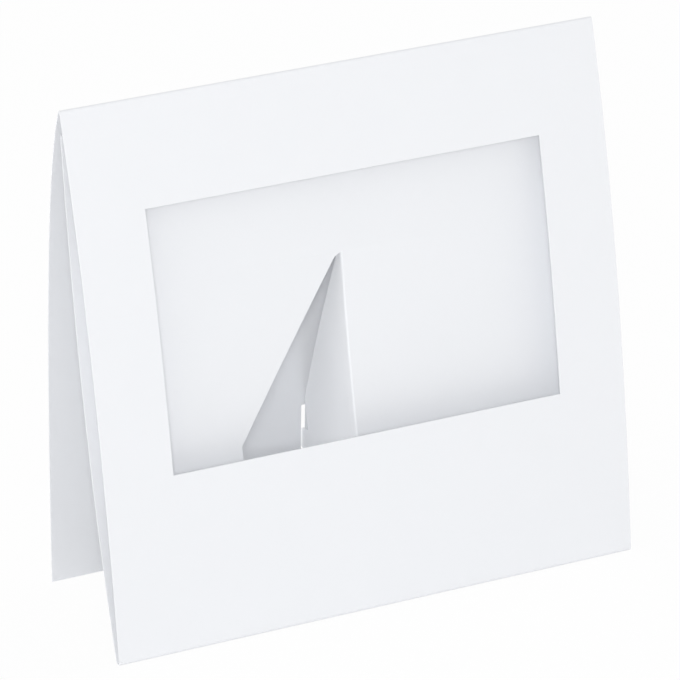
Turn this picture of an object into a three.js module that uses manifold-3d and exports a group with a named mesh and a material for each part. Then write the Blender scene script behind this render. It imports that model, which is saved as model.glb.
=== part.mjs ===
/**
 * Folded card photo frame, free standing.
 *
 * One die-cut sheet of white card with two cross folds. The front panel has the picture window. At the
 * top fold, the ridge, it turns down into the rear leg. At the bottom fold it turns up into the backing
 * panel, which rises behind the window and ends just under the ridge, so that a print slides in between.
 * A pointed strut is cut from the backing panel and folded back about an upright line. Its tab goes
 * through a narrow slot in the rear leg, which holds the spread.
 *
 * Millimetres, +Z up, +X to the right as seen from the front, +Y to the back. The origin is the centre
 * of the card's footprint on the table.
 */

import * as THREE from 'three';
import { mergeVertices } from 'three/addons/utils/BufferGeometryUtils.js';
import Module from 'manifold-3d';

// The sheet.
const CARD_THICKNESS = 0.4;
const FRAME_WIDTH = 188;

// The stance, seen from the side. Lengths are chords between the middles of the folds, and the spread
// that the strut holds is from the bottom fold to the leg's foot.
const FRONT_LENGTH = 184.9;
const LEG_LENGTH = 185.3;
const FOOT_SPREAD = 62.15;
const BACKING_LENGTH = 177.5;
const BACKING_TOP_GAP = 0.8;

// The slow bow of each panel: how far it stands out of its chord, and how far above the middle of the
// chord its fullest part pulls.
const FRONT_BOW = 5.3;
const FRONT_BOW_RISE = 11;
const LEG_BOW = 7.2;
const LEG_BOW_RISE = 54.7;
const BACKING_BOW = 6;
const BACKING_BOW_RISE = -10;

// The folds, to the middle of the card. The bottom fold is pressed flat where it stands.
const RIDGE_RADIUS = 0.6;
const BOTTOM_FOLD_RADIUS = 1.3;
const STRUT_FOLD_RADIUS = 0.6;
const PRESSED_DEPTH = 0.03;

// The picture window, its sill measured up the front panel from the bottom fold.
const WINDOW_WIDTH = 140;
const WINDOW_HEIGHT = 89.5;
const WINDOW_SILL = 60.8;

// The strut. Its tip is measured up the backing panel from the bottom fold, its foot from the table.
const STRUT_TIP = 121.3;
const STRUT_TIP_RADIUS = 4.5;
const STRUT_FLARE = 33.45;
const STRUT_FOOT = 4;
const STRUT_FOLD_X = 0.5;
const STRUT_OPENING = 88.5;
const STRUT_LEG_GAP = 0.2;

// The slot in the rear leg. It starts this far below the corner where the strut's free edge meets the leg.
const SLOT_DROP = 2.65;
const SLOT_HEIGHT = 17.8;
const SLOT_WIDTH = 1.5;
const SLOT_SIDE_GAP = 0.25;

// The strut's tab goes through the lower half of the slot: its distance from the slot's top, its gap to
// the slot's lower end, and how far it sticks out.
const TAB_DROP = 9.2;
const TAB_BOTTOM_GAP = 0.6;
const TAB_REACH = 2.2;

// How finely the curves are stepped.
const PANEL_STEPS = 24;
const RIDGE_STEPS = 8;
const BOTTOM_FOLD_STEPS = 14;
const STRUT_FOLD_STEPS = 6;
const EDGE_STEPS = 12;

// How many times a place along a panel is closed in on.
const SEARCH_STEPS = 36;

// A cutter stands this far out on each side of the panel that it cuts.
const CUTTER_REACH = 2.5;

const HALF_CARD = CARD_THICKNESS / 2;

const wasm = await Module();
wasm.setup();

/** A closed three.js geometry as a solid that can be cut and joined. */
function solidFrom(geometry) {
  const bare = geometry.clone();
  bare.deleteAttribute('normal');
  bare.deleteAttribute('uv');
  const merged = mergeVertices(bare, 1e-5);
  const mesh = new wasm.Mesh({
    numProp: 3,
    vertProperties: new Float32Array(merged.attributes.position.array),
    triVerts: new Uint32Array(merged.index.array),
  });
  return new wasm.Manifold(mesh);
}

/** A solid as a three.js geometry again. */
function geometryFrom(solid) {
  const { vertProperties, triVerts } = solid.getMesh();
  const geometry = new THREE.BufferGeometry();
  geometry.setAttribute('position', new THREE.BufferAttribute(new Float32Array(vertProperties), 3));
  geometry.setIndex(new THREE.BufferAttribute(new Uint32Array(triVerts), 1));
  geometry.computeVertexNormals();
  return geometry;
}

/** A prism across the frame: a side outline of (y, z) points, from x = left to x = right. */
function prismAcross(outline, left, right) {
  const geometry = new THREE.ExtrudeGeometry(new THREE.Shape(outline), {
    depth: right - left,
    bevelEnabled: false,
  });
  const turn = new THREE.Matrix4().makeBasis(
    new THREE.Vector3(0, 1, 0),
    new THREE.Vector3(0, 0, 1),
    new THREE.Vector3(1, 0, 0),
  );
  geometry.applyMatrix4(turn);
  geometry.translate(left, 0, 0);
  return solidFrom(geometry);
}

/** A prism from front to back: a front outline of (x, z) points, from y = near to y = far. */
function prismThrough(outline, near, far) {
  const geometry = new THREE.ExtrudeGeometry(new THREE.Shape(outline), {
    depth: far - near,
    bevelEnabled: false,
  });
  const turn = new THREE.Matrix4().makeBasis(
    new THREE.Vector3(1, 0, 0),
    new THREE.Vector3(0, 0, 1),
    new THREE.Vector3(0, -1, 0),
  );
  geometry.applyMatrix4(turn);
  geometry.translate(0, far, 0);
  return solidFrom(geometry);
}

/** A stretch of the sheet seen from the side: points along its middle, each with its unit normal. */
class Stretch {
  constructor(points, normals) {
    this.points = points;
    this.normals = normals;
    this.heights = [0];
    for (let i = 1; i < points.length; i++) {
      this.heights.push(this.heights[i - 1] + points[i].distanceTo(points[i - 1]));
    }
  }

  /** The point at a distance along the stretch, and out along its normal. */
  place(along, out = 0) {
    const last = this.points.length - 2;
    let i = 0;
    while (i < last && this.heights[i + 1] < along) {
      i++;
    }
    const share = (along - this.heights[i]) / (this.heights[i + 1] - this.heights[i]);
    const point = this.points[i].clone().lerp(this.points[i + 1], share);
    const normal = this.normals[i].clone().lerp(this.normals[i + 1], share);
    return point.addScaledVector(normal, out);
  }

  /** Where along the stretch its middle line reaches a height above the table. */
  alongAt(height) {
    const rising = this.points[0].y < this.points[this.points.length - 1].y;
    let i = 0;
    while (i < this.points.length - 2 && (this.points[i + 1].y < height) === rising) {
      i++;
    }
    const share = (height - this.points[i].y) / (this.points[i + 1].y - this.points[i].y);
    return this.heights[i] + share * (this.heights[i + 1] - this.heights[i]);
  }

  /** The side outline of a band about this stretch, standing out by the same distance on both sides. */
  band(reach) {
    const ahead = this.points.map((point, i) => point.clone().addScaledVector(this.normals[i], reach));
    const behind = this.points.map((point, i) => point.clone().addScaledVector(this.normals[i], -reach));
    return [...ahead, ...behind.reverse()];
  }
}

/** The unit normal on the left of a direction. */
function leftOf(direction) {
  return new THREE.Vector2(-direction.y, direction.x).normalize();
}

/** The point where a straight line from outside touches a circle. side is 1 or -1. */
function touchPoint(from, centre, radius, side) {
  const line = from.clone().sub(centre);
  const opening = Math.acos(radius / line.length());
  const spoke = line.normalize().rotateAround(new THREE.Vector2(), side * opening);
  return spoke.multiplyScalar(radius).add(centre);
}

/** A bowed panel between two points, with its pull point between them. */
function panelStretch(start, pull, end) {
  const curve = new THREE.QuadraticBezierCurve(start, pull, end);
  const points = [];
  const normals = [];
  for (let i = 0; i <= PANEL_STEPS; i++) {
    points.push(curve.getPoint(i / PANEL_STEPS));
    normals.push(leftOf(curve.getTangent(i / PANEL_STEPS)));
  }
  return new Stretch(points, normals);
}

/** A fold about a centre, turning from one touch point to the other. turn is 1 or -1. */
function foldStretch(centre, from, to, turn, steps) {
  const start = from.clone().sub(centre);
  const first = start.angle();
  let sweep = (to.clone().sub(centre).angle() - first) * turn;
  if (sweep < 0) {
    sweep += 2 * Math.PI;
  }
  const points = [];
  const normals = [];
  for (let i = 0; i <= steps; i++) {
    const angle = first + (turn * sweep * i) / steps;
    const spoke = new THREE.Vector2(Math.cos(angle), Math.sin(angle));
    points.push(spoke.clone().multiplyScalar(start.length()).add(centre));
    normals.push(spoke.clone().multiplyScalar(-turn));
  }
  return new Stretch(points, normals);
}

/** The pull point of a bowed panel, from the middle of its chord. side is 1 for a bow to the left. */
function pullPoint(start, end, bow, rise, side) {
  const along = end.clone().sub(start).normalize();
  const middle = start.clone().lerp(end, 0.5);
  return middle.addScaledVector(leftOf(along), 2 * bow * side).addScaledVector(along, rise);
}

/** The upper corner of a triangle on a base, from the lengths of its other two sides. */
function apexPoint(start, end, fromStart, fromEnd) {
  const base = end.clone().sub(start);
  const along = (base.lengthSq() + fromStart ** 2 - fromEnd ** 2) / (2 * base.length());
  const rise = Math.sqrt(fromStart ** 2 - along ** 2);
  const direction = base.normalize();
  return start.clone().addScaledVector(direction, along).addScaledVector(leftOf(direction), rise);
}

// The skeleton of the stance, in the side view: x there is the frame's y, and y there its height.
const bottomFold = new THREE.Vector2(0, BOTTOM_FOLD_RADIUS + HALF_CARD - PRESSED_DEPTH);
const legFoot = new THREE.Vector2(FOOT_SPREAD, 0);
const ridge = apexPoint(bottomFold, legFoot, FRONT_LENGTH, LEG_LENGTH);
const frontLine = ridge.clone().sub(bottomFold).normalize();
const backingTop = bottomFold.clone()
  .addScaledVector(frontLine, BACKING_LENGTH)
  .addScaledVector(leftOf(frontLine), -BACKING_TOP_GAP);

const frontPull = pullPoint(bottomFold, ridge, FRONT_BOW, FRONT_BOW_RISE, 1);
const legPull = pullPoint(legFoot, ridge, LEG_BOW, LEG_BOW_RISE, -1);
const backingPull = pullPoint(bottomFold, backingTop, BACKING_BOW, BACKING_BOW_RISE, -1);

const frontFoot = touchPoint(frontPull, bottomFold, BOTTOM_FOLD_RADIUS, 1);
const backingFoot = touchPoint(backingPull, bottomFold, BOTTOM_FOLD_RADIUS, -1);
const frontTop = touchPoint(frontPull, ridge, RIDGE_RADIUS, -1);
const legTop = touchPoint(legPull, ridge, RIDGE_RADIUS, 1);

const front = panelStretch(frontFoot, frontPull, frontTop);
const leg = panelStretch(legTop, legPull, legFoot);
const backing = panelStretch(backingFoot, backingPull, backingTop);

/** The whole sheet's side outline, from the backing's top round both folds to the leg's foot. */
function sheetOutline() {
  const bottomTurn = foldStretch(bottomFold, backingFoot, frontFoot, -1, BOTTOM_FOLD_STEPS);
  const ridgeTurn = foldStretch(ridge, frontTop, legTop, -1, RIDGE_STEPS);
  const footLine = legFoot.clone().sub(legPull).normalize();
  const points = [
    ...backing.points.slice().reverse(),
    ...bottomTurn.points.slice(1, -1),
    ...front.points,
    ...ridgeTurn.points.slice(1, -1),
    ...leg.points,
    legFoot.clone().addScaledVector(footLine, CARD_THICKNESS),
  ];
  const normals = [
    ...backing.normals.map((normal) => normal.clone().negate()).reverse(),
    ...bottomTurn.normals.slice(1, -1),
    ...front.normals,
    ...ridgeTurn.normals.slice(1, -1),
    ...leg.normals,
    leftOf(footLine),
  ];
  return new Stretch(points, normals).band(HALF_CARD);
}

/** A cutter through one panel only, for a front outline of (x, z) points. */
function panelCutter(panel, outline) {
  const band = prismAcross(panel.band(CUTTER_REACH), -FRAME_WIDTH, FRAME_WIDTH);
  const depths = panel.points.map((point) => point.x);
  const near = Math.min(...depths) - 2 * CUTTER_REACH;
  const far = Math.max(...depths) + 2 * CUTTER_REACH;
  return band.intersect(prismThrough(outline, near, far));
}

/** A rectangle of front outline points. */
function rectangle(left, right, bottom, top) {
  return [
    new THREE.Vector2(left, bottom),
    new THREE.Vector2(right, bottom),
    new THREE.Vector2(right, top),
    new THREE.Vector2(left, top),
  ];
}

/** The picture window's cutter. */
function windowCutter() {
  const sill = front.place(WINDOW_SILL).y;
  const head = front.place(WINDOW_SILL + WINDOW_HEIGHT).y;
  return panelCutter(front, rectangle(-WINDOW_WIDTH / 2, WINDOW_WIDTH / 2, sill, head));
}

/** The cutter of the slot in the rear leg. The strut's tab runs along its right-hand side. */
function slotCutter() {
  const reach = reachToLeg(alongForRearHeight(slotBottom));
  const right = strutX(reach) + HALF_CARD + SLOT_SIDE_GAP;
  return panelCutter(leg, rectangle(right - SLOT_WIDTH, right, slotBottom, slotTop));
}

/** Where the middle of the strut stands across the frame, at a distance back from its fold. */
function strutX(reach) {
  const slant = THREE.MathUtils.degToRad(90 - STRUT_OPENING);
  return STRUT_FOLD_X - STRUT_FOLD_RADIUS - (reach - STRUT_FOLD_RADIUS) * Math.sin(slant);
}

/** How far the strut can reach from the backing panel before it meets the rear leg. */
function reachToLeg(along) {
  const root = backing.place(along);
  const direction = backing.place(along, 1).sub(root).negate();
  let reach = 0;
  for (let i = 0; i < EDGE_STEPS; i++) {
    const tip = root.clone().addScaledVector(direction, reach);
    const legPlace = leg.place(leg.alongAt(tip.y), -HALF_CARD - STRUT_LEG_GAP);
    reach += (legPlace.x - tip.x) / direction.x;
  }
  return reach;
}

/** The height above the table of the strut's rear edge, for a height up the backing panel. */
function rearEdgeHeight(along) {
  return backing.place(along, -reachToLeg(along)).y;
}

/** How far up the backing panel, below the strut's tip, a condition that holds at its foot still holds. */
function alongWhile(holds) {
  let low = 0;
  let high = STRUT_TIP;
  for (let i = 0; i < SEARCH_STEPS; i++) {
    const middle = (low + high) / 2;
    if (holds(middle)) {
      low = middle;
    } else {
      high = middle;
    }
  }
  return low;
}

/** Where up the backing panel the strut's rear edge stands at a height above the table. */
function alongForRearHeight(height) {
  return alongWhile((along) => rearEdgeHeight(along) < height);
}

const flare = THREE.MathUtils.degToRad(STRUT_FLARE);
const tipEnd = STRUT_TIP - STRUT_TIP_RADIUS * (1 - Math.sin(flare));

/** The strut's width from its fold inside its rounded tip. */
function tipWidth(along) {
  const drop = STRUT_TIP - along;
  return Math.sqrt(Math.max(drop * (2 * STRUT_TIP_RADIUS - drop), 0));
}

/** The strut's width from its fold where its free edge runs straight, below the rounded tip. */
function flaredWidth(along) {
  return STRUT_TIP_RADIUS * Math.cos(flare) + (tipEnd - along) * Math.tan(flare);
}

// The corner where the free edge meets the rear leg, and the slot's two ends below it.
const corner = alongWhile((along) => flaredWidth(along) > reachToLeg(along));
const slotTop = rearEdgeHeight(corner) - SLOT_DROP;
const slotBottom = slotTop - SLOT_HEIGHT;

/** The width of the strut's tab from its fold. */
function tabWidth(along) {
  return reachToLeg(along) + TAB_REACH;
}

/** Points of the strut's flat outline between two heights up the panel, for a rule of its width. */
function edgeBetween(from, to, widthAt) {
  const edge = [];
  for (let i = 0; i <= EDGE_STEPS; i++) {
    const along = from + ((to - from) * i) / EDGE_STEPS;
    edge.push(new THREE.Vector2(widthAt(along), along));
  }
  return edge;
}

/** The strut's flat outline from the tip to the corner, round the tab, and down the leg to the foot. */
function strutEdge() {
  const tabTop = alongForRearHeight(slotTop - TAB_DROP);
  const tabBottom = alongForRearHeight(slotBottom + TAB_BOTTOM_GAP);
  const rearFoot = alongForRearHeight(STRUT_FOOT);
  return [
    ...edgeBetween(STRUT_TIP, tipEnd, tipWidth),
    ...edgeBetween(tipEnd, corner, flaredWidth).slice(1),
    new THREE.Vector2(flaredWidth(corner), tabTop),
    new THREE.Vector2(tabWidth(tabTop), tabTop),
    new THREE.Vector2(tabWidth(tabBottom), tabBottom),
    ...edgeBetween(tabBottom, rearFoot, reachToLeg),
  ];
}

/** The cutter of the hole that the strut leaves in the backing panel. */
function strutHoleCutter(edge) {
  const outline = edge.map((point) => new THREE.Vector2(STRUT_FOLD_X - point.x, backing.place(point.y).y));
  const foot = new THREE.Vector2(STRUT_FOLD_X, STRUT_FOOT);
  return panelCutter(backing, [foot, ...outline]);
}

/** The strut's section across its fold: out of the panel, round the fold and straight back. */
function strutSection(length) {
  const outer = STRUT_FOLD_RADIUS + HALF_CARD;
  const inner = STRUT_FOLD_RADIUS - HALF_CARD;
  const foldStart = -Math.PI / 2;
  const foldEnd = foldStart - THREE.MathUtils.degToRad(STRUT_OPENING);
  const spoke = new THREE.Vector2(Math.cos(foldEnd), Math.sin(foldEnd));
  const foldCentre = new THREE.Vector2(0, STRUT_FOLD_RADIUS);
  const back = new THREE.Vector2(spoke.y, -spoke.x);
  const innerEnd = foldCentre.clone().addScaledVector(spoke, inner).addScaledVector(back, length);
  const outerEnd = foldCentre.clone().addScaledVector(spoke, outer).addScaledVector(back, length);
  const shape = new THREE.Shape();
  shape.moveTo(CARD_THICKNESS, -HALF_CARD);
  shape.lineTo(CARD_THICKNESS, HALF_CARD);
  shape.lineTo(0, HALF_CARD);
  shape.absarc(foldCentre.x, foldCentre.y, inner, foldStart, foldEnd, true);
  shape.lineTo(innerEnd.x, innerEnd.y);
  shape.lineTo(outerEnd.x, outerEnd.y);
  shape.absarc(foldCentre.x, foldCentre.y, outer, foldEnd, foldStart, false);
  return shape;
}

/** The strut as one bent strip that follows the backing panel, cut to its outline. */
function strutSolid(edge) {
  const widest = Math.max(...edge.map((point) => point.x)) + CUTTER_REACH;
  const foldFoot = backing.alongAt(STRUT_FOOT);
  const inside = backing.heights.filter((height) => height > foldFoot && height < STRUT_TIP);
  const levels = [foldFoot, ...inside, STRUT_TIP];
  const geometry = new THREE.ExtrudeGeometry(strutSection(widest), {
    depth: 1,
    steps: levels.length - 1,
    bevelEnabled: false,
    curveSegments: STRUT_FOLD_STEPS,
  });
  const position = geometry.attributes.position;
  for (let i = 0; i < position.count; i++) {
    const level = levels[Math.round(position.getZ(i) * (levels.length - 1))];
    const place = backing.place(level, -position.getY(i));
    position.setXYZ(i, STRUT_FOLD_X + position.getX(i), place.x, place.y);
  }
  const side = [backing.place(foldFoot, CUTTER_REACH), backing.place(STRUT_TIP, CUTTER_REACH)];
  const outline = [...side, ...edge.map((point) => backing.place(point.y, -point.x))];
  const keep = prismAcross(outline, STRUT_FOLD_X - widest, STRUT_FOLD_X + CUTTER_REACH);
  return solidFrom(geometry).intersect(keep);
}

/** The whole card, standing on the table. */
function foldedCard() {
  const edge = strutEdge();
  const sheet = prismAcross(sheetOutline(), -FRAME_WIDTH / 2, FRAME_WIDTH / 2)
    .subtract(windowCutter())
    .subtract(slotCutter())
    .subtract(strutHoleCutter(edge))
    .add(strutSolid(edge));
  const table = prismAcross(
    rectangle(-FRAME_WIDTH, 2 * FRAME_WIDTH, -FRAME_WIDTH, 0),
    -FRAME_WIDTH,
    FRAME_WIDTH,
  );
  return sheet.subtract(table);
}

const cardGeometry = geometryFrom(foldedCard());
cardGeometry.computeBoundingBox();
const cardBox = cardGeometry.boundingBox;

const whiteCard = new THREE.MeshStandardMaterial({ color: 0xf4f5f8, roughness: 0.85, metalness: 0 });
const card = new THREE.Mesh(cardGeometry, whiteCard);
card.name = 'folded_card';
card.position.y = -(cardBox.min.y + cardBox.max.y) / 2;

const group = new THREE.Group();
group.add(card);

export default group;
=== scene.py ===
"""Folded card photo frame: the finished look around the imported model.

One die-cut sheet of white card is laid out as a grid, cut, folded and given its thickness. Sizes are in
metres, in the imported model's frame: +X right, +Y back, +Z up, with the table at zero.
"""

import logging
import math
from collections.abc import Callable, Sequence
from dataclasses import dataclass
from enum import Enum, IntEnum

import bmesh
import bpy
from mathutils import Matrix, Vector

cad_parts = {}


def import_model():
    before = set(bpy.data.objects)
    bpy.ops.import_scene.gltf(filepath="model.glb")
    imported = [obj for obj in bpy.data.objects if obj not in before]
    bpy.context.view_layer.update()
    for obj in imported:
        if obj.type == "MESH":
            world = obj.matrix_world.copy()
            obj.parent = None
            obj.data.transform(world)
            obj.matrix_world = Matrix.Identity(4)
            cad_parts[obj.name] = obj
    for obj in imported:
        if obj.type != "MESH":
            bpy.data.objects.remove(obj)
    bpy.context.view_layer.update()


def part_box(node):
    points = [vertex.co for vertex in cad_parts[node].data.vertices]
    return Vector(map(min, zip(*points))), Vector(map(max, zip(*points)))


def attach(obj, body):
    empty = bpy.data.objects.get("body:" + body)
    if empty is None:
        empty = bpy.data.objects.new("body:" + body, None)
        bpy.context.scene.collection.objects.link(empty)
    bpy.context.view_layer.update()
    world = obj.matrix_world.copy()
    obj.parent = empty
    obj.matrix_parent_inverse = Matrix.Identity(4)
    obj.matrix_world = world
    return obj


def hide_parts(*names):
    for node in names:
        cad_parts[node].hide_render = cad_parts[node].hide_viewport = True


MM = 0.001
HAIR = 0.001 * MM
WELD_REACH = 0.002 * MM
HALVINGS = 40
REACH_ROUNDS = 12
NODE = "folded_card"
BODY = "root"
WHITE = (1, 1, 1, 1)

log = logging.getLogger("card_frame")


class Panel(Enum):
    """The stretches of the sheet, in the order in which it runs."""

    BACKING = "backing"
    BOTTOM_FOLD = "bottom fold"
    FRONT = "front"
    RIDGE_FOLD = "ridge fold"
    LEG = "leg"


class Column(IntEnum):
    """The lines that run along the sheet, counted from its left edge, which is 0."""

    WINDOW_LEFT = 1
    STRUT_EDGE = 2
    SLOT_LEFT = 3
    SLOT_RIGHT = 4
    STRUT_FOLD = 9
    WINDOW_RIGHT = 10


@dataclass(frozen=True)
class Bow:
    """The slow curve of a panel: how far it stands out of its chord, and how far up it pulls."""

    depth: float
    rise: float


def left_of(direction: Vector) -> Vector:
    """Return the unit vector on the left of a direction in the side view."""
    return Vector((-direction.y, direction.x)).normalized()


def apex_point(start: Vector, end: Vector, from_start: float, from_end: float) -> Vector:
    """Find the upper corner of a triangle from its base and the lengths of its other sides.

    Args:
        start: The left end of the base.
        end: The right end of the base.
        from_start: The length of the side that leaves the left end.
        from_end: The length of the side that leaves the right end.

    Returns:
        The corner.
    """
    base = end - start
    along = (base.length_squared + from_start**2 - from_end**2) / (2 * base.length)
    rise = math.sqrt(from_start**2 - along**2)
    return start + base.normalized() * along + left_of(base) * rise


def touch_point(start: Vector, centre: Vector, radius: float, side: int) -> Vector:
    """Find where a straight line from outside touches a circle.

    Args:
        start: The point outside.
        centre: The circle's centre.
        radius: The circle's radius.
        side: 1 or -1, for the two lines that touch.

    Returns:
        The touch point.
    """
    line = start - centre
    opening = side * math.acos(radius / line.length)
    turn = Matrix(((math.cos(opening), -math.sin(opening)), (math.sin(opening), math.cos(opening))))
    return centre + turn @ line.normalized() * radius


def pull_point(start: Vector, end: Vector, bow: Bow, side: int) -> Vector:
    """Find the pull point of a bowed panel.

    Args:
        start: The lower end of its chord.
        end: The upper end of its chord.
        bow: How it bows.
        side: 1 if it bows to the left of the chord, -1 to the right.

    Returns:
        The middle point of a three-point curve.
    """
    along = (end - start).normalized()
    return (start + end) / 2 + left_of(along) * (2 * bow.depth * side) + along * bow.rise


def last_where(holds: Callable[[float], bool], low: float, high: float) -> float:
    """Close in on the place where a condition stops holding.

    Args:
        holds: The condition, which holds at the lower end.
        low: The lower end.
        high: The upper end.

    Returns:
        The place.
    """
    for _ in range(HALVINGS):
        middle = (low + high) / 2
        low, high = (middle, high) if holds(middle) else (low, middle)
    return low


class Stretch:
    """A stretch of the sheet seen from the side: points along its middle, with their normals."""

    def __init__(self, points: Sequence[Vector], normals: Sequence[Vector]) -> None:
        """Store the points and the distance along the stretch at each.

        Args:
            points: The points along the middle of the card.
            normals: The unit normal at each point.
        """
        self.points = list(points)
        self.normals = list(normals)
        self.marks = [0.0]
        for before, after in zip(self.points, self.points[1:]):
            self.marks.append(self.marks[-1] + (after - before).length)

    @property
    def length(self) -> float:
        """Return the whole length along the middle."""
        return self.marks[-1]

    def place(self, along: float, out: float = 0.0) -> Vector:
        """Find a point beside the stretch.

        Args:
            along: The distance from the start of the stretch.
            out: The distance out along the normal.

        Returns:
            The point in the side view.
        """
        i = 0
        while i < len(self.points) - 2 and self.marks[i + 1] < along:
            i += 1
        share = (along - self.marks[i]) / (self.marks[i + 1] - self.marks[i])
        point = self.points[i].lerp(self.points[i + 1], share)
        return point + self.normals[i].lerp(self.normals[i + 1], share).normalized() * out

    def along_at(self, height: float) -> float:
        """Find where the stretch reaches a height.

        Args:
            height: The height above the table.

        Returns:
            The distance from the start of the stretch.
        """
        rising = self.points[0].y < self.points[-1].y
        i = 0
        while i < len(self.points) - 2 and (self.points[i + 1].y < height) == rising:
            i += 1
        share = (height - self.points[i].y) / (self.points[i + 1].y - self.points[i].y)
        return self.marks[i] + share * (self.marks[i + 1] - self.marks[i])


def bowed(start: Vector, pull: Vector, end: Vector, steps: int) -> Stretch:
    """Make a bowed panel.

    Args:
        start: Where it begins.
        pull: The point that its curve is drawn towards.
        end: Where it ends.
        steps: How many spans it has.

    Returns:
        The stretch, its normals on the left of its way.
    """
    shares = [i / steps for i in range(steps + 1)]
    points = [start * (1 - t) ** 2 + pull * 2 * t * (1 - t) + end * t**2 for t in shares]
    normals = [left_of((pull - start) * (1 - t) + (end - pull) * t) for t in shares]
    return Stretch(points, normals)


def folded(centre: Vector, start: Vector, end: Vector, steps: int) -> Stretch:
    """Make a fold that turns clockwise in the side view.

    Args:
        centre: The centre of the turn.
        start: Where the fold begins.
        end: Where it ends.
        steps: How many spans it has.

    Returns:
        The stretch, its normals pointing out of the turn.
    """
    spoke = start - centre
    first = math.atan2(spoke.y, spoke.x)
    last = math.atan2(end.y - centre.y, end.x - centre.x)
    sweep = (first - last) % math.tau
    angles = [first - sweep * i / steps for i in range(steps + 1)]
    normals = [Vector((math.cos(angle), math.sin(angle))) for angle in angles]
    return Stretch([centre + normal * spoke.length for normal in normals], normals)


@dataclass
class Stance:
    """How the folded sheet stands, seen from the side: x runs to the back and y up."""

    foot_corner: float
    thickness: float = 0.4 * MM
    front_length: float = 184.9 * MM
    leg_length: float = 185.3 * MM
    foot_spread: float = 62.15 * MM
    backing_length: float = 177.5 * MM
    backing_top_gap: float = 0.8 * MM
    front_bow: Bow = Bow(5.3 * MM, 11 * MM)
    leg_bow: Bow = Bow(7.2 * MM, 54.7 * MM)
    backing_bow: Bow = Bow(6 * MM, -10 * MM)
    ridge_radius: float = 0.6 * MM
    bottom_radius: float = 1.3 * MM
    pressed_depth: float = 0.03 * MM
    panel_steps: int = 110
    bottom_steps: int = 22
    ridge_steps: int = 14

    def __post_init__(self) -> None:
        """Lay out the corners of the stance and the five stretches between them."""
        outer = self.bottom_radius + self.half
        bottom = Vector((self.foot_corner + outer, outer - self.pressed_depth))
        foot = Vector((bottom.x + self.foot_spread, 0))
        ridge = apex_point(bottom, foot, self.front_length, self.leg_length)
        line = (ridge - bottom).normalized()
        top = bottom + line * self.backing_length - left_of(line) * self.backing_top_gap

        front_pull = pull_point(bottom, ridge, self.front_bow, 1)
        leg_pull = pull_point(foot, ridge, self.leg_bow, -1)
        backing_pull = pull_point(bottom, top, self.backing_bow, -1)
        front_foot = touch_point(front_pull, bottom, self.bottom_radius, 1)
        backing_foot = touch_point(backing_pull, bottom, self.bottom_radius, -1)
        front_top = touch_point(front_pull, ridge, self.ridge_radius, -1)
        leg_top = touch_point(leg_pull, ridge, self.ridge_radius, 1)

        self.stretches = {
            Panel.BACKING: bowed(top, backing_pull, backing_foot, self.panel_steps),
            Panel.BOTTOM_FOLD: folded(bottom, backing_foot, front_foot, self.bottom_steps),
            Panel.FRONT: bowed(front_foot, front_pull, front_top, self.panel_steps),
            Panel.RIDGE_FOLD: folded(ridge, front_top, leg_top, self.ridge_steps),
            Panel.LEG: bowed(leg_top, leg_pull, foot, self.panel_steps),
        }

    @property
    def half(self) -> float:
        """Return half the card's thickness."""
        return self.thickness / 2

    def up_backing(self, up: float) -> float:
        """Turn a distance up the backing panel from its foot into one along its stretch."""
        return self.stretches[Panel.BACKING].length - up

    def behind(self, up: float, depth: float) -> Vector:
        """Find a point behind the backing panel.

        Args:
            up: How far up the panel from its foot.
            depth: How far behind the middle of the card.

        Returns:
            The point in the side view.
        """
        return self.stretches[Panel.BACKING].place(self.up_backing(up), depth)


@dataclass
class Window:
    """The picture window in the front panel, its sill measured up from the bottom fold."""

    width: float = 140 * MM
    height: float = 89.5 * MM
    sill: float = 60.8 * MM


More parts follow.
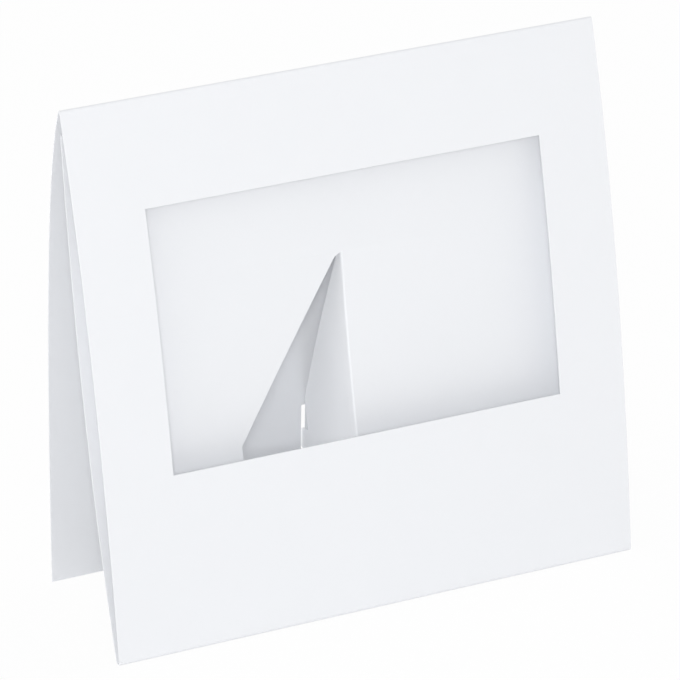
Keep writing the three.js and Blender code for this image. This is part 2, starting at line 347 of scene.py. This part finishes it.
@dataclass
class Strut:
    """The strut, cut from the backing panel, with its tab and the slot that holds it in the leg."""

    stance: Stance
    tip: float = 121.3 * MM
    tip_radius: float = 4.5 * MM
    flare: float = math.radians(33.45)
    foot: float = 4 * MM
    fold_x: float = 0.5 * MM
    fold_radius: float = 0.6 * MM
    opening: float = math.radians(88.5)
    leg_gap: float = 0.2 * MM
    slot_drop: float = 2.65 * MM
    slot_height: float = 17.8 * MM
    slot_width: float = 1.5 * MM
    slot_side_gap: float = 0.25 * MM
    tab_drop: float = 9.2 * MM
    tab_bottom_gap: float = 0.6 * MM
    tab_reach: float = 2.2 * MM
    tab_corner: float = 0.5 * MM
    tab_corner_shares: tuple[float, ...] = (0.15, 0.5, 1)
    tip_steps: int = 5

    def __post_init__(self) -> None:
        """Find the heights at which the free edge turns."""
        self.tip_end = self.tip - self.tip_radius * (1 - math.sin(self.flare))
        self.corner = last_where(lambda up: self.flared(up) > self.reach_to_leg(up), 0, self.tip)
        self.slot_top = self.rear_height(self.corner) - self.slot_drop
        self.slot_bottom = self.slot_top - self.slot_height
        self.tab_top = self.up_for_rear(self.slot_top - self.tab_drop)
        self.tab_bottom = self.up_for_rear(self.slot_bottom + self.tab_bottom_gap)
        self.rear_foot = self.up_for_rear(self.foot)
        backing = self.stance.stretches[Panel.BACKING]
        self.fold_foot = self.stance.up_backing(backing.along_at(self.foot))

    def reach_to_leg(self, up: float) -> float:
        """Find how far the strut reaches back before it meets the leg.

        Args:
            up: How far up the backing panel.

        Returns:
            The reach from the middle of the backing panel.
        """
        leg = self.stance.stretches[Panel.LEG]
        root = self.stance.behind(up, 0)
        direction = (self.stance.behind(up, 1) - root).normalized()
        reach = 0.0
        for _ in range(REACH_ROUNDS):
            tip = root + direction * reach
            face = leg.place(leg.along_at(tip.y), -self.stance.half - self.leg_gap)
            reach += (face.x - tip.x) / direction.x
        return reach

    def rear_height(self, up: float) -> float:
        """Return the height at which the strut meets the leg."""
        return self.stance.behind(up, self.reach_to_leg(up)).y

    def up_for_rear(self, height: float) -> float:
        """Return where up the backing panel the strut meets the leg at a height."""
        return last_where(lambda up: self.rear_height(up) < height, 0, self.tip)

    def flared(self, up: float) -> float:
        """Return the strut's width where its free edge runs straight, below the tip."""
        return self.tip_radius * math.cos(self.flare) + (self.tip_end - up) * math.tan(self.flare)

    def width(self, up: float) -> float:
        """Find the strut's width from its fold to its free edge.

        Args:
            up: How far up the backing panel.

        Returns:
            The width, or 0 beyond the strut's ends.
        """
        if up >= self.tip or up <= self.fold_foot:
            return 0.0
        if up > self.tip_end:
            drop = self.tip - up
            return math.sqrt(drop * (2 * self.tip_radius - drop))
        if up > self.corner:
            return self.flared(up)
        if up >= self.tab_top:
            return self.flared(self.corner)
        if up > self.tab_bottom:
            into_tab = min(self.tab_top - up, up - self.tab_bottom) / self.tab_corner
            return self.reach_to_leg(up) + self.tab_reach * min(1.0, math.sqrt(max(into_tab, 0)))
        if up > self.rear_foot:
            return self.reach_to_leg(up)
        share = (up - self.fold_foot) / (self.rear_foot - self.fold_foot)
        return self.reach_to_leg(self.rear_foot) * share

    def exact_rows(self) -> list[float]:
        """Find where its free edge turns, so that each turn gets a row.

        Returns:
            The heights up the backing panel.
        """
        sweep = math.pi / 2 - self.flare
        turns = [sweep * i / self.tip_steps for i in range(self.tip_steps + 1)]
        into_tab = [self.tab_corner * share for share in self.tab_corner_shares]
        return [
            *(self.tip - self.tip_radius * (1 - math.cos(turn)) for turn in turns),
            self.corner,
            self.tab_top,
            *(self.tab_top - step for step in into_tab),
            *(self.tab_bottom + step for step in into_tab),
            self.tab_bottom,
            self.rear_foot,
            self.fold_foot,
        ]

    def folded_point(self, up: float, along: float) -> Vector:
        """Find a point on the strut's hidden side, once it is folded back.

        Args:
            up: How far up the backing panel.
            along: How far it lies from the fold, measured on the flat card.

        Returns:
            The point.
        """
        bend = self.fold_radius * self.opening
        angle = min(along / self.fold_radius, self.opening)
        straight = max(along - bend, 0)
        inner = self.fold_radius - self.stance.half
        across = inner * math.sin(angle) + straight * math.cos(self.opening)
        depth = self.fold_radius - inner * math.cos(angle) + straight * math.sin(self.opening)
        place = self.stance.behind(up, depth)
        return Vector((self.fold_x - across, place.x, place.y))

    def slot_sides(self) -> tuple[float, float]:
        """Find the slot's sides, which leave the tab a gap on its right.

        Returns:
            Where its left and right sides stand across the frame.
        """
        up = self.up_for_rear(self.slot_bottom)
        slant = math.pi / 2 - self.opening
        back = self.reach_to_leg(up) - self.fold_radius
        middle = self.fold_x - self.fold_radius - back * math.sin(slant)
        right = middle + self.stance.half + self.slot_side_gap
        return right - self.slot_width, right


@dataclass(frozen=True)
class Row:
    """One cross line of the sheet: its panel, and how far along that panel it lies."""

    panel: Panel
    along: float


@dataclass
class FoldedCard:
    """The whole sheet: its lines, its cuts, its folds and its thickness."""

    width: float
    stance: Stance
    window: Window
    strut: Strut
    row_step: float = 1.6 * MM
    clear_step: float = 0.35 * MM
    edge_round: float = 0.04 * MM
    edge_segments: int = 2
    cut_angle: float = math.radians(35)
    smooth_angle: float = math.radians(20)
    foot_trim: float = 0.4 * MM
    strut_plain_columns: int = 2

    def __post_init__(self) -> None:
        """Work out the rows and the plain columns."""
        self.rows = self._rows()
        half_window = self.window.width / 2
        slot_left, slot_right = self.strut.slot_sides()
        rest = range(Column.SLOT_RIGHT + 1, Column.WINDOW_RIGHT)
        span = Column.WINDOW_RIGHT - Column.SLOT_RIGHT
        self.columns = [
            -self.width / 2,
            -half_window,
            (slot_left - half_window) / 2,
            slot_left,
            slot_right,
            *(slot_right + (half_window - slot_right) * (c - Column.SLOT_RIGHT) / span for c in rest),
            half_window,
            self.width / 2,
        ]

    def _panel_rows(self, panel: Panel, exact: Sequence[float]) -> list[Row]:
        """Spread the rows of a bowed panel.

        Args:
            panel: The panel.
            exact: Distances along it that need a row of their own.

        Returns:
            Its rows in order, both ends left out.
        """
        length = self.stance.stretches[panel].length
        count = round(length / self.row_step)
        even = [length * i / count for i in range(1, count)]
        kept = [along for along in even if all(abs(along - place) > self.clear_step for place in exact)]
        return [Row(panel, along) for along in sorted({*kept, *exact})]

    def _rows(self) -> list[Row]:
        """Collect the rows of all five stretches.

        Returns:
            Every row of the sheet, from the backing's top to just past the leg's foot.
        """
        stretches = self.stance.stretches
        strut, window, leg = self.strut, self.window, stretches[Panel.LEG]
        backing_rows = [self.stance.up_backing(up) for up in strut.exact_rows()]
        slot_rows = [leg.along_at(strut.slot_top), leg.along_at(strut.slot_bottom)]
        window_rows = [window.sill, window.sill + window.height]
        rows = [Row(Panel.BACKING, 0.0), *self._panel_rows(Panel.BACKING, backing_rows)]
        rows += [Row(Panel.BOTTOM_FOLD, mark) for mark in stretches[Panel.BOTTOM_FOLD].marks]
        rows += self._panel_rows(Panel.FRONT, window_rows)
        rows += [Row(Panel.RIDGE_FOLD, mark) for mark in stretches[Panel.RIDGE_FOLD].marks]
        rows += [*self._panel_rows(Panel.LEG, slot_rows), Row(Panel.LEG, leg.length + self.foot_trim)]
        return rows

    def _row_at(self, panel: Panel, along: float) -> int:
        """Return the index of a panel's row that lies nearest to a distance."""
        places = [i for i, row in enumerate(self.rows) if row.panel is panel]
        return min(places, key=lambda i: abs(self.rows[i].along - along))

    def _flat_steps(self, up: float) -> list[float]:
        """Space the strut's columns on the flat card.

        Args:
            up: How far up the backing panel.

        Returns:
            The distance from the fold of each column, from the free edge to the fold.
        """
        strut = self.strut
        width = strut.width(up)
        bend = strut.fold_radius * strut.opening
        slack = strut.fold_radius * (strut.opening - 1)
        edge = width + slack * min(1.0, width / strut.fold_radius)
        count = Column.STRUT_FOLD - Column.STRUT_EDGE
        in_bend = count - self.strut_plain_columns
        steps = [min(bend * j / in_bend, edge * j / count) for j in range(in_bend + 1)]
        steps += [(steps[-1] + edge) / 2, edge]
        return steps[::-1]

    def _lay_out(self) -> bmesh.types.BMesh:
        """Lay the sheet out flat.

        Returns:
            A grid whose corners still lie at their column and row numbers.
        """
        bm = bmesh.new()
        across, along = len(self.columns) - 1, len(self.rows) - 1
        spread = Matrix.Diagonal((across, along, 1, 1))
        shift = Matrix.Translation((across / 2, along / 2, 0))
        bmesh.ops.create_grid(bm, x_segments=across, y_segments=along, size=0.5, matrix=shift @ spread)
        return bm

    def _cut_out(self, bm: bmesh.types.BMesh, left: int, right: int, first: int, last: int) -> None:
        """Cut a rectangle out of the sheet.

        Args:
            bm: The sheet.
            left: The column on its left.
            right: The column on its right.
            first: The row where it begins.
            last: The row where it ends.
        """
        waste = []
        for face in bm.faces:
            middle = face.calc_center_median()
            if left < middle.x < right and first < middle.y < last:
                waste.append(face)
        bmesh.ops.delete(bm, geom=waste, context="FACES")

    def _cut_free(self, bm: bmesh.types.BMesh, first: int, last: int) -> None:
        """Part the strut from the backing panel along its free edge.

        Args:
            bm: The sheet.
            first: The row of the strut's tip.
            last: The row of its foot.
        """
        free = []
        for edge in bm.edges:
            start, end = (vert.co for vert in edge.verts)
            on_line = round(start.x) == round(end.x) == Column.STRUT_EDGE
            if on_line and first < (start.y + end.y) / 2 < last:
                free.append(edge)
        bmesh.ops.split_edges(bm, edges=free)

    def _place(self, vert: bmesh.types.BMVert) -> Vector:
        """Find where a corner of the grid lies once the sheet is folded.

        Args:
            vert: The corner, still at its column and row numbers.

        Returns:
            Its place on the outer side of the card.
        """
        column, row = round(vert.co.x), self.rows[round(vert.co.y)]
        x = self.columns[column]
        if row.panel is Panel.BACKING:
            up = self.stance.up_backing(row.along)
            in_strut = self.strut.fold_foot - HAIR <= up <= self.strut.tip + HAIR
            if in_strut and Column.STRUT_EDGE <= column <= Column.STRUT_FOLD:
                middles = [face.calc_center_median().x for face in vert.link_faces]
                if column > Column.STRUT_EDGE or min(middles) > Column.STRUT_EDGE:
                    return self.strut.folded_point(up, self._flat_steps(up)[column - Column.STRUT_EDGE])
                x = self.strut.fold_x - self.strut.width(up)
        place = self.stance.stretches[row.panel].place(row.along, self.stance.half)
        return Vector((x, place.x, place.y))

    def _trim_on_table(self, bm: bmesh.types.BMesh) -> None:
        """Trim whatever lies below the table, and close what that opens.

        Args:
            bm: The folded card.
        """
        geometry = [*bm.verts, *bm.edges, *bm.faces]
        table, up = (0, 0, 0), (0, 0, 1)
        bmesh.ops.bisect_plane(bm, geom=geometry, plane_co=table, plane_no=up, clear_inner=True)
        bmesh.ops.holes_fill(bm, edges=[edge for edge in bm.edges if edge.is_boundary], sides=0)

    def _soften(self, bm: bmesh.types.BMesh) -> None:
        """Round the cut edges of the card slightly.

        Args:
            bm: The folded card.
        """
        cut = [edge for edge in bm.edges if edge.calc_face_angle() > self.cut_angle]
        bmesh.ops.bevel(
            bm,
            geom=cut,
            offset=self.edge_round,
            offset_type="OFFSET",
            affect="EDGES",
            segments=self.edge_segments,
            profile=0.5,
            material=-1,
            clamp_overlap=True,
        )

    def mesh(self) -> bmesh.types.BMesh:
        """Cut, fold and thicken the sheet.

        Returns:
            The finished card.
        """
        strut, window, leg = self.strut, self.window, self.stance.stretches[Panel.LEG]
        sill = self._row_at(Panel.FRONT, window.sill)
        head = self._row_at(Panel.FRONT, window.sill + window.height)
        slot_top = self._row_at(Panel.LEG, leg.along_at(strut.slot_top))
        slot_bottom = self._row_at(Panel.LEG, leg.along_at(strut.slot_bottom))
        tip = self._row_at(Panel.BACKING, self.stance.up_backing(strut.tip))
        fold_foot = self._row_at(Panel.BACKING, self.stance.up_backing(strut.fold_foot))

        bm = self._lay_out()
        self._cut_out(bm, Column.WINDOW_LEFT, Column.WINDOW_RIGHT, sill, head)
        self._cut_out(bm, Column.SLOT_LEFT, Column.SLOT_RIGHT, slot_top, slot_bottom)
        self._cut_free(bm, tip, fold_foot)
        places = {vert: self._place(vert) for vert in bm.verts}
        for vert, place in places.items():
            vert.co = place
        bmesh.ops.remove_doubles(bm, verts=bm.verts, dist=WELD_REACH)
        bmesh.ops.recalc_face_normals(bm, faces=bm.faces)
        bmesh.ops.solidify(bm, geom=bm.faces[:], thickness=self.stance.thickness)
        self._trim_on_table(bm)
        bmesh.ops.recalc_face_normals(bm, faces=bm.faces)
        self._soften(bm)
        return bm

    def build(self, finish: "CardFinish") -> bpy.types.Object:
        """Make the card's object and dress it.

        Args:
            finish: The card's finish.

        Returns:
            The object.
        """
        bm = self.mesh()
        mesh = bpy.data.meshes.new("card_frame")
        bm.to_mesh(mesh)
        bm.free()
        mesh.shade_smooth()
        mesh.set_sharp_from_angle(angle=self.smooth_angle)
        piece = bpy.data.objects.new("card_frame", mesh)
        bpy.context.scene.collection.objects.link(piece)
        mesh.materials.append(finish.material())
        return piece


@dataclass(frozen=True)
class Shade:
    """A shader socket that takes part in sums, so that node maths reads as an expression."""

    tree: bpy.types.NodeTree
    socket: bpy.types.NodeSocket | None

    def _math(self, operation: str, first: "Shade | float", second: "Shade | float") -> "Shade":
        """Add a Math node.

        Args:
            operation: The node's operation.
            first: Its first value.
            second: Its second value.

        Returns:
            The result.
        """
        node = self.tree.nodes.new("ShaderNodeMath")
        node.operation = operation
        for socket, value in zip(node.inputs, (first, second)):
            if isinstance(value, Shade):
                self.tree.links.new(value.socket, socket)
            else:
                socket.default_value = value
        return Shade(self.tree, node.outputs[0])

    def __add__(self, other: "Shade | float") -> "Shade":
        """Add."""
        return self._math("ADD", self, other)

    def __radd__(self, other: float) -> "Shade":
        """Add to a number."""
        return self._math("ADD", other, self)

    def __sub__(self, other: "Shade | float") -> "Shade":
        """Subtract."""
        return self._math("SUBTRACT", self, other)

    def __rsub__(self, other: float) -> "Shade":
        """Subtract from a number."""
        return self._math("SUBTRACT", other, self)

    def __mul__(self, other: "Shade | float") -> "Shade":
        """Multiply."""
        return self._math("MULTIPLY", self, other)

    def __rmul__(self, other: float) -> "Shade":
        """Multiply a number."""
        return self._math("MULTIPLY", other, self)

    def at_least(self, other: "Shade | float") -> "Shade":
        """Take the larger value."""
        return self._math("MAXIMUM", self, other)


class Nodes:
    """A node tree that is filled one node at a time."""

    def __init__(self, tree: bpy.types.NodeTree) -> None:
        """Empty the tree."""
        self.tree = tree
        tree.nodes.clear()

    def add(self, kind: str, inputs: dict[str | int, object], output: int | str = 0) -> Shade:
        """Add a node.

        Args:
            kind: The node's type.
            inputs: The value or the link of each of its sockets, by name or number.
            output: The output to hand back.

        Returns:
            The output, or an empty one where the node has none.
        """
        node = self.tree.nodes.new(kind)
        self._fill(node, inputs)
        return Shade(self.tree, node.outputs[output] if node.outputs else None)

    def mix_colour(self, factor: Shade, first: Sequence[float], second: Sequence[float]) -> Shade:
        """Mix two colours.

        Args:
            factor: How much of the second colour there is.
            first: The first colour.
            second: The second colour.

        Returns:
            The mixed colour.
        """
        node = self.tree.nodes.new("ShaderNodeMix")
        node.data_type = "RGBA"
        self._fill(node, {0: factor, 6: (*first, 1), 7: (*second, 1)})
        return Shade(self.tree, node.outputs[2])

    def _fill(self, node: bpy.types.Node, inputs: dict[str | int, object]) -> None:
        """Link or set the sockets of a node.

        Args:
            node: The node.
            inputs: The value or the link of each of its sockets, by name or number.
        """
        for name, value in inputs.items():
            if isinstance(value, Shade):
                self.tree.links.new(value.socket, node.inputs[name])
            else:
                node.inputs[name].default_value = value


@dataclass(frozen=True)
class CardFinish:
    """Uncoated white board: a smooth, faintly mottled sheet with short fibres in it."""

    pale: tuple[float, float, float] = (0.905, 0.917, 0.941)
    deep: tuple[float, float, float] = (0.880, 0.893, 0.920)
    cloud_scale: float = 28.0
    cloud_detail: float = 4.0
    cloud_share: float = 0.6
    grain_scale: float = 1100.0
    grain_detail: float = 3.0
    grain_share: float = 0.6
    fibre_scale: float = 3200.0
    fibre_detail: float = 2.0
    fibre_twist: float = 1.5
    smoothest: float = 0.74
    roughest: float = 0.86
    relief: float = 0.012 * MM
    relief_strength: float = 0.35
    ior: float = 1.47

    def material(self) -> bpy.types.Material:
        """Make the material.

        Returns:
            The material.
        """
        material = bpy.data.materials.new("white_card")
        material.use_nodes = True
        nodes = Nodes(material.node_tree)
        place = nodes.add("ShaderNodeTexCoord", {}, "Object")
        cloud = nodes.add(
            "ShaderNodeTexNoise",
            {"Vector": place, "Scale": self.cloud_scale, "Detail": self.cloud_detail},
        )
        grain = nodes.add(
            "ShaderNodeTexNoise",
            {"Vector": place, "Scale": self.grain_scale, "Detail": self.grain_detail},
        )
        fibre = nodes.add(
            "ShaderNodeTexNoise",
            {
                "Vector": place,
                "Scale": self.fibre_scale,
                "Detail": self.fibre_detail,
                "Distortion": self.fibre_twist,
            },
        )
        mottle = cloud * self.cloud_share + grain * (1 - self.cloud_share)
        height = grain * self.grain_share + fibre * (1 - self.grain_share)
        normal = nodes.add(
            "ShaderNodeBump",
            {"Height": height, "Strength": self.relief_strength, "Distance": self.relief},
        )
        surface = nodes.add(
            "ShaderNodeBsdfPrincipled",
            {
                "Base Color": nodes.mix_colour(mottle, self.pale, self.deep),
                "Roughness": self.smoothest + (self.roughest - self.smoothest) * grain,
                "Normal": normal,
                "IOR": self.ior,
            },
        )
        nodes.add("ShaderNodeOutputMaterial", {"Surface": surface})
        return material


@dataclass(frozen=True)
class Lamp:
    """A round soft lamp, turned to the frame."""

    name: str
    place: tuple[float, float, float]
    size: float
    power: float

    def build(self, aim: Vector) -> None:
        """Hang the lamp.

        Args:
            aim: The point that it faces.
        """
        light = bpy.data.lights.new(self.name, "AREA")
        light.shape = "DISK"
        light.size = self.size
        light.energy = self.power
        lamp = bpy.data.objects.new(self.name, light)
        lamp.location = self.place
        lamp.rotation_euler = (lamp.location - aim).to_track_quat("Z", "Y").to_euler()
        bpy.context.scene.collection.objects.link(lamp)


@dataclass
class Studio:
    """A white table and surround, lit softly from the front and into the frame's open sides."""

    floor_size: float = 6.0
    floor_glow: float = 0.95
    floor_colour: tuple[float, float, float] = (0.95, 0.95, 0.95)
    ambient: float = 0.69
    lamps: tuple[Lamp, ...] = (
        Lamp("front_lamp", (-0.79, -1.82, 1.05), 0.3, 12.5),
        Lamp("left_lamp", (-1.75, 0.17, 0.15), 0.8, 9.0),
        Lamp("right_lamp", (1.75, 0.17, 0.15), 0.8, 9.0),
    )

    def _seen_directly(self, nodes: Nodes) -> Shade:
        """Tell the rays that show the surround from those that only light the scene.

        Args:
            nodes: The tree that asks.

        Returns:
            1 for a ray from the camera, or by way of a gloss or glass, and 0 for the others.
        """
        camera = nodes.add("ShaderNodeLightPath", {}, "Is Camera Ray")
        gloss = nodes.add("ShaderNodeLightPath", {}, "Is Glossy Ray")
        glass = nodes.add("ShaderNodeLightPath", {}, "Is Transmission Ray")
        return camera.at_least(gloss).at_least(glass)

    def _world(self) -> None:
        """Light the scene evenly, and show a white surround."""
        world = bpy.data.worlds.new("surround")
        bpy.context.scene.world = world
        world.use_nodes = True
        nodes = Nodes(world.node_tree)
        light = nodes.add("ShaderNodeBackground", {"Color": WHITE, "Strength": self.ambient})
        shown = nodes.add("ShaderNodeBackground", {"Color": WHITE, "Strength": 1.0})
        seen = self._seen_directly(nodes)
        mixed = nodes.add("ShaderNodeMixShader", {"Fac": seen, 1: light, 2: shown})
        nodes.add("ShaderNodeOutputWorld", {"Surface": mixed})

    def _floor_material(self) -> bpy.types.Material:
        """Make the table's material, which shows nearly white and keeps a faint shadow.

        Returns:
            The material.
        """
        material = bpy.data.materials.new("white_table")
        material.use_nodes = True
        nodes = Nodes(material.node_tree)
        lit = nodes.add("ShaderNodeBsdfDiffuse", {"Color": (*self.floor_colour, 1)})
        glow = nodes.add("ShaderNodeEmission", {"Color": WHITE, "Strength": 1.0})
        seen = self._seen_directly(nodes) * self.floor_glow
        mixed = nodes.add("ShaderNodeMixShader", {"Fac": seen, 1: lit, 2: glow})
        nodes.add("ShaderNodeOutputMaterial", {"Surface": mixed})
        return material

    def _floor(self) -> None:
        """Lay the white table."""
        bm = bmesh.new()
        bmesh.ops.create_grid(bm, x_segments=1, y_segments=1, size=self.floor_size / 2)
        mesh = bpy.data.meshes.new("table")
        bm.to_mesh(mesh)
        bm.free()
        mesh.materials.append(self._floor_material())
        table = bpy.data.objects.new("table", mesh)
        bpy.context.scene.collection.objects.link(table)

    def build(self, aim: Vector) -> None:
        """Set up the surround, the table and the lamps.

        Args:
            aim: The middle of the frame.
        """
        bpy.context.scene.view_settings.view_transform = "Standard"
        self._world()
        self._floor()
        for lamp in self.lamps:
            lamp.build(aim)


@dataclass
class Viewpoint:
    """The camera, from the front left and above."""

    azimuth: float = math.radians(23.348)
    elevation: float = math.radians(25.869)
    roll: float = math.radians(-0.797)
    distance: float = 1.44504
    lens: float = 230.33
    sensor: float = 36.0
    aim: Vector = Vector((-1.125 * MM, -2.859 * MM, 87.308 * MM))

    def build(self) -> None:
        """Place the camera and make it the scene's own."""
        level = math.cos(self.elevation)
        ahead = Vector((math.sin(self.azimuth), math.cos(self.azimuth), 0))
        look = ahead * level - Vector((0, 0, math.sin(self.elevation)))
        right = Vector((ahead.y, -ahead.x, 0))
        right = Matrix.Rotation(-self.roll, 3, look) @ right
        up = right.cross(look)
        data = bpy.data.cameras.new("viewpoint")
        data.lens = self.lens
        data.sensor_width = self.sensor
        camera = bpy.data.objects.new("viewpoint", data)
        turn = Matrix((right, up, -look)).transposed().to_4x4()
        camera.matrix_world = Matrix.Translation(self.aim - look * self.distance) @ turn
        bpy.context.scene.collection.objects.link(camera)
        bpy.context.scene.camera = camera


def main() -> None:
    """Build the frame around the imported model."""
    logging.basicConfig(level=logging.INFO, format="%(name)s: %(message)s")
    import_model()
    low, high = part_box(NODE)
    Viewpoint().build()

    stance = Stance(foot_corner=low[1])
    card = FoldedCard(width=high[0] - low[0], stance=stance, window=Window(), strut=Strut(stance))
    piece = card.build(CardFinish())
    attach(piece, BODY)
    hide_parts(NODE)
    log.info("%s has %d faces", piece.name, len(piece.data.polygons))

    Studio().build(Vector((0, 0, (low[2] + high[2]) / 2)))


if __name__ == "__main__":
    main()
